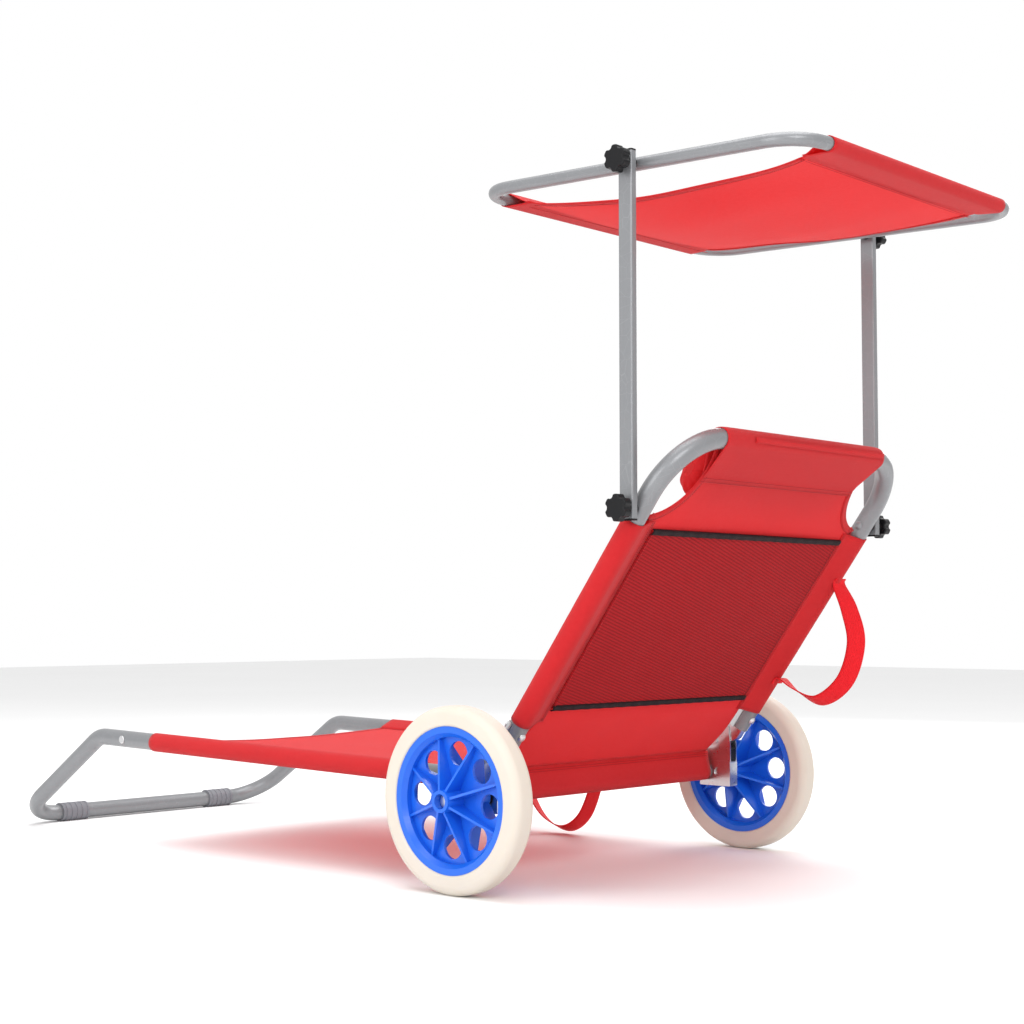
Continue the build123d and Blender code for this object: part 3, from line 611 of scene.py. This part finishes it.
makePocket()
makeTape("pocketTapeTop", "pocket_binding_top", pocket["high"])
makeTape("pocketTapeBottom", "pocket_binding_bottom", pocket["low"])
print("pocket made")


# Seat cloth.
seatCloth = {"foot": -0.683, "sleeveEnd": -0.112, "rear": -0.030, "rearD": 0.0125, "sag": 0.0055}


def makeSeatCloth():
    c = seatCloth
    seam = railX - sleeve["reach"]
    path = [(s, 0.0) for s in spread(c["foot"], c["sleeveEnd"], 90)]
    width = [seam] * len(path)
    for t in spread(0.0, 1.0, 14)[1:]:
        path.append((c["sleeveEnd"] + (c["rear"] - c["sleeveEnd"]) * t, c["rearD"] * t ** 1.2))
        width.append(seam + sleeve["tuck"] * min(1.0, t * 4))
    xs = spread(-1.0, 1.0, 61)
    rows, uv = gridOver(onLeg, xs, path, width)
    for i, (s, d) in enumerate(path):
        ease = min(1.0, (c["rear"] - s) / 0.25)
        for j, x in enumerate(xs):
            p = rows[i][j]
            p -= legUp * (c["sag"] * (1 - x * x) * ease - wobble(p, 0.0016, 8.0, 2.0) * (1 - x * x))
    patches = [sheetPatch(rows, uv)]
    patches += [sideSleeve(onLeg, side, c["foot"], c["sleeveEnd"], 80) for side in (1, -1)]
    edge = rows[0]
    patches.append(hemStrip(edge, [legAlong] * len(edge), [-legUp] * len(edge), 0.018))
    seams["leg_frame"].append([p + legAlong * 0.015 + legUp * 0.0009 for p in edge])
    for side in (1, -1):
        for inset in sleeve["stitchRows"]:
            line = []
            for s in spread(c["foot"] + 0.004, c["sleeveEnd"] - 0.004, 120):
                x = railX - inset
                sag = c["sag"] * (1 - min(1.0, x / seam) ** 2) * min(1.0, (c["rear"] - s) / 0.25)
                line.append(onLeg(side * x, s, 0.0010 - sag))
            seams["leg_frame"].append(line)
    piece = pieceFrom("seatCloth", patches, canvas, tube["cloth"])
    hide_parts("seat_sling")
    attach(piece, "leg_frame")


# The seat cloth's doubled end, down behind the crossbar and round it.
def makeAnchor():
    bar = centre("seat_crossbar")
    r = 0.0107
    path = [(axle.y - 0.0150, axle.z + 0.0300), (axle.y - 0.0135, axle.z + 0.0180)]
    path += [(bar.y + r * math.cos(a), bar.z + r * math.sin(a)) for a in spread(0.18, -math.pi - 0.12, 22)]
    path += [(axle.y - 0.0262, axle.z + 0.0180), (axle.y - 0.0230, axle.z + 0.0310)]
    half = railX - 0.0125
    rows, uv, run = [], [], 0.0
    for i, (y, z) in enumerate(path):
        if i:
            run += math.hypot(y - path[i - 1][0], z - path[i - 1][1])
        rows.append([Vector((x, y + 0.0003 * math.sin(x * 40), z)) for x in spread(-half, half, 60)])
        uv.append([(x, run) for x in spread(-half, half, 60)])
    piece = pieceFrom("anchorCloth", [sheetPatch(rows, uv)], canvas, 0.0014)
    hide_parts("anchor_flap")
    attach(piece, "leg_frame")
    for drop in (0.004, 0.007):
        seams["leg_frame"].append([Vector((x, axle.y - 0.0128, axle.z + 0.030 - drop))
                                   for x in spread(-half + 0.004, half - 0.004, 60)])


makeSeatCloth()
makeAnchor()
print("seat cloth made")


# Canopy cloth.
shade = {"half": 0.2025, "waist": 0.022, "sag": 0.036, "edgeLift": 0.021, "seam": 0.033, "hem": 0.039}


def makeCanopy():
    length = (canopyRear - canopyFront).length
    radius = tube["canopy"] + 0.0010
    slope = math.atan(4 * shade["sag"] / length)
    drop = tearDrop(radius, shade["seam"])

    def front(x, d):
        c, n = math.cos(slope), math.sin(slope)
        return (-x * c - d * n, x * n - d * c)

    def rear(x, d):
        c, n = math.cos(slope), math.sin(slope)
        return (length + x * c + d * n, x * n - d * c)

    path = [front(-shade["hem"], -0.0022)] + [front(x, d) for x, d in reversed(drop)]
    first = front(-shade["seam"], 0.0)
    last = rear(-shade["seam"], 0.0)
    depth = shade["sag"] * 1.06 + first[1]
    middle = []
    for t in spread(0.0, 1.0, 50)[1:-1]:
        middle.append((first[0] + (last[0] - first[0]) * t, first[1] - depth * 4 * t * (1 - t)))
    path += middle + [rear(x, d) for x, d in drop] + [rear(-shade["hem"], -0.0022)]
    width = []
    for s, d in path:
        t = min(1.0, max(0.0, (s - 0.012) / (length - 0.024)))
        width.append(shade["half"] - shade["waist"] * (4 * t * (1 - t)) ** 0.85)
    xs = spread(-1.0, 1.0, 61)
    rows, uv = gridOver(onCanopy, xs, path, width)
    for i, (s, d) in enumerate(path):
        t = min(1.0, max(0.0, s / length))
        free = (4 * t * (1 - t)) ** 1.5
        for j, x in enumerate(xs):
            p = rows[i][j]
            lift = shade["edgeLift"] * free * x * x - 0.003 * free * (1 - x * x)
            fold = 0.0022 * free * math.cos(x * 9.0 + 1.5 * math.sin(7 * t)) * abs(x)
            p += canopyUp * (lift + fold + wobble(p, 0.004, 5.0, 4.0) * free)
    patches = [sheetPatch(rows, uv)]
    inner = [i for i, (s, d) in enumerate(path) if 0.040 < s < length - 0.040]
    for side, column, nearby in ((1, -1, -2), (-1, 0, 1)):
        line = [rows[i][column] for i in inner]
        inward = [(rows[i][nearby] - rows[i][column]).normalized() for i in inner]
        out = [-canopyUp] * len(line)
        patches.append(hemStrip(line, inward, out, 0.010))
        seams["canopy"].append([p + inward[k] * 0.008 - canopyUp * 0.0016 for k, p in enumerate(line)])
    for place in (front, rear):
        for inset in (0.0345, 0.0375):
            s, d = place(-inset, 0.0)
            half = shade["half"] - 0.012
            seams["canopy"].append([onCanopy(x, s, d - 0.0012 - 0.0010) for x in spread(-half, half, 60)])
    piece = pieceFrom("canopyCloth", patches, canvas, 0.0006)
    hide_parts("canopy_sling")
    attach(piece, "canopy")


makeCanopy()
print("canopy made")


# Head pillow.
pillow = {"half": 0.168, "low": 0.339, "high": 0.419, "front": 0.041, "pleats": 9, "gather": 0.05,
          "cap": 0.008, "around": 64, "along": 97, "square": 2.6}


# A bolster with gathered ends, blown up by a short cloth simulation.
def makePillow():
    rows, uv = [], []
    around, square = pillow["around"], pillow["square"]
    middleS, middleD = (pillow["low"] + pillow["high"]) / 2, pillow["front"] / 2 + 0.001
    a, b = (pillow["high"] - pillow["low"]) / 2, pillow["front"] / 2
    for t in spread(-1.0, 1.0, pillow["along"]):
        x = t * pillow["half"]
        end = max(0.0, (abs(x) - pillow["half"] + pillow["gather"]) / pillow["gather"])
        size = math.sqrt(max(0.0, 1 - end ** square * 0.94))
        row = []
        for k in range(around + 1):
            angle = 2 * math.pi * k / around
            c, n = math.cos(angle), math.sin(angle)
            wave = math.cos(pillow["pleats"] * angle + 0.6 * math.sin(3 * angle))
            crease = 1 - 0.10 * end * (0.5 + 0.5 * wave)
            box = (abs(c) ** square + abs(n) ** square) ** (-1 / square)
            along = middleS + a * c * box * size * crease
            row.append(onBack(x, along, middleD + b * n * box * size * crease))
        rows.append(row)
        uv.append([(0.22 * k / around, x) for k in range(around + 1)])
    piece = pieceFrom("headPillow", [sheetPatch(rows, uv)], canvas)
    weld = piece.modifiers.new("weld", "WELD")
    weld.merge_threshold = 0.0004
    applied(piece)
    puffed(piece)
    smooth = piece.modifiers.new("smooth", "SUBSURF")
    smooth.levels = smooth.render_levels = 1
    applied(piece)
    piece.data.polygons.foreach_set("use_smooth", [True] * len(piece.data.polygons))
    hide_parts("head_pillow")
    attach(piece, "backrest")


# Pressure from inside, with each point's move limited.
def puffed(piece):
    start = np.zeros(len(piece.data.vertices) * 3)
    piece.data.vertices.foreach_get("co", start)
    start = start.reshape(-1, 3)
    cloth = piece.modifiers.new("puff", "CLOTH")
    cloth.settings.use_pressure = True
    cloth.settings.uniform_pressure_force = 4.0
    cloth.settings.effector_weights.gravity = 0.0
    cloth.settings.tension_stiffness = 25.0
    cloth.settings.bending_stiffness = 0.4
    for step in range(1, 15):
        bpy.context.scene.frame_set(step)
    graph = bpy.context.evaluated_depsgraph_get()
    shaped = piece.evaluated_get(graph)
    moved = np.array([v.co for v in shaped.data.vertices], float)
    piece.modifiers.clear()
    bpy.context.scene.frame_set(1)
    push = moved - start
    length = np.linalg.norm(push, axis=1, keepdims=True)
    push *= np.minimum(1.0, pillow["cap"] / np.maximum(length, 1e-9)) * 0.5
    out = np.array(backOut)
    placed = start + push
    rise = (placed - np.array(backOrigin)) @ out
    placed += np.outer(np.maximum(0.0, 0.0012 - rise), out)
    piece.data.vertices.foreach_set("co", placed.ravel())
    piece.data.update()


makePillow()
print("pillow made")


# Webbing handles.
handles = {
    "width": 0.025, "thick": 0.0013, "x": -0.250,
    "back": [(0.250, -0.002), (0.2410, 0.0012), (0.2230, 0.034), (0.1920, 0.069), (0.1400, 0.0850),
             (0.0930, 0.0690), (0.0800, 0.0316), (0.0790, 0.0012), (0.068, -0.002)],
    "leg": [(-0.402, -0.002), (-0.3890, 0.0012), (-0.3755, 0.0568), (-0.3425, 0.1025), (-0.2971, 0.1185),
            (-0.2596, 0.0973), (-0.2367, 0.0498), (-0.2240, 0.0012), (-0.212, -0.002)],
    "backTwist": [0, 10, 34, 52, 50, 34, 18, 4, 0],
    "legTwist": [0, -4, -14, -22, -24, -20, -12, -3, 0],
}


# A Catmull-Rom curve through the values.
def smoothLine(values, count):
    values = np.array(values, float)
    padded = np.vstack([2 * values[0] - values[1], values, 2 * values[-1] - values[-2]])
    out = []
    for u in spread(0.0, len(values) - 1.0, count):
        i = min(int(u), len(values) - 2)
        t = u - i
        p0, p1, p2, p3 = padded[i:i + 4]
        out.append(0.5 * (2 * p1 + (p2 - p0) * t + (2 * p0 - 5 * p1 + 4 * p2 - p3) * t ** 2
                          + (3 * p1 - p0 - 3 * p2 + p3) * t ** 3))
    return np.array(out)


def makeHandle(name, node, place, route, twist, body):
    outward = -(tube["frame"] + 0.0016)
    points = [Vector(place(handles["x"], s, outward - d)) for s, d in smoothLine(route, 90)]
    turns = smoothLine([[t] for t in twist], 90)[:, 0]
    rows, uv, run = [], [], 0.0
    for i, p in enumerate(points):
        if i:
            run += (p - points[i - 1]).length
        tangent = (points[min(i + 1, 89)] - points[max(i - 1, 0)]).normalized()
        across = Vector((1, 0, 0))
        normal = tangent.cross(across).normalized()
        angle = math.radians(turns[i])
        wide = across * math.cos(angle) + normal * math.sin(angle)
        rows.append([p + wide * handles["width"] * w for w in spread(-0.5, 0.5, 7)])
        uv.append([(handles["width"] * w, run) for w in spread(-0.5, 0.5, 7)])
    piece = pieceFrom(name, [sheetPatch(rows, uv)], webbing, handles["thick"])
    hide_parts(node)
    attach(piece, body)


makeHandle("backHandle", "back_handle", onBack, handles["back"], handles["backTwist"], "backrest")
makeHandle("legHandle", "leg_handle", onLeg, handles["leg"], handles["legTwist"], "leg_frame")
print("handles made")


# Stitches.
stitch = {"pitch": 0.0032, "length": 0.0024, "radius": 0.00033}


def stitchGroup():
    group = bpy.data.node_groups.new("stitchRun", "GeometryNodeTree")
    face = group.interface
    face.new_socket("Geometry", in_out="INPUT", socket_type="NodeSocketGeometry")
    pitch = face.new_socket("Pitch", in_out="INPUT", socket_type="NodeSocketFloat")
    material = face.new_socket("Thread", in_out="INPUT", socket_type="NodeSocketMaterial")
    face.new_socket("Geometry", in_out="OUTPUT", socket_type="NodeSocketGeometry")
    add = group.nodes.new
    link = group.links.new
    start, end = add("NodeGroupInput"), add("NodeGroupOutput")
    curve, resample = add("GeometryNodeMeshToCurve"), add("GeometryNodeResampleCurve")
    resample.mode = "LENGTH"
    points, rods = add("GeometryNodeCurveToPoints"), add("GeometryNodeInstanceOnPoints")
    points.mode = "EVALUATED"
    rod = add("GeometryNodeMeshCylinder")
    rod.inputs["Vertices"].default_value = 6
    rod.inputs["Radius"].default_value = stitch["radius"]
    rod.inputs["Depth"].default_value = stitch["length"]
    realize, paint = add("GeometryNodeRealizeInstances"), add("GeometryNodeSetMaterial")
    link(start.outputs[0], curve.inputs[0])
    link(curve.outputs[0], resample.inputs[0])
    link(start.outputs[1], resample.inputs["Length"])
    link(resample.outputs[0], points.inputs[0])
    align = add("FunctionNodeAlignRotationToVector")
    align.axis = "Z"
    link(points.outputs["Tangent"], align.inputs["Vector"])
    link(points.outputs["Points"], rods.inputs["Points"])
    link(rod.outputs["Mesh"], rods.inputs["Instance"])
    link(align.outputs[0], rods.inputs["Rotation"])
    link(rods.outputs[0], realize.inputs[0])
    link(realize.outputs[0], paint.inputs[0])
    link(start.outputs[2], paint.inputs["Material"])
    link(paint.outputs[0], end.inputs[0])
    return group, pitch.identifier, material.identifier


stitchTree, pitchSocket, threadSocket = stitchGroup()
for body, lines in seams.items():
    points, edges = [], []
    for line in lines:
        start = len(points)
        points += [tuple(p) for p in line]
        edges += [(i, i + 1) for i in range(start, len(points) - 1)]
    mesh = bpy.data.meshes.new("stitches_" + body)
    mesh.from_pydata(points, edges, [])
    piece = bpy.data.objects.new("stitches_" + body, mesh)
    bpy.context.scene.collection.objects.link(piece)
    run = piece.modifiers.new("stitches", "NODES")
    run.node_group = stitchTree
    run[pitchSocket] = stitch["pitch"]
    run[threadSocket] = threadRed
    applied(piece)
    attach(piece, body)
print("stitches made")
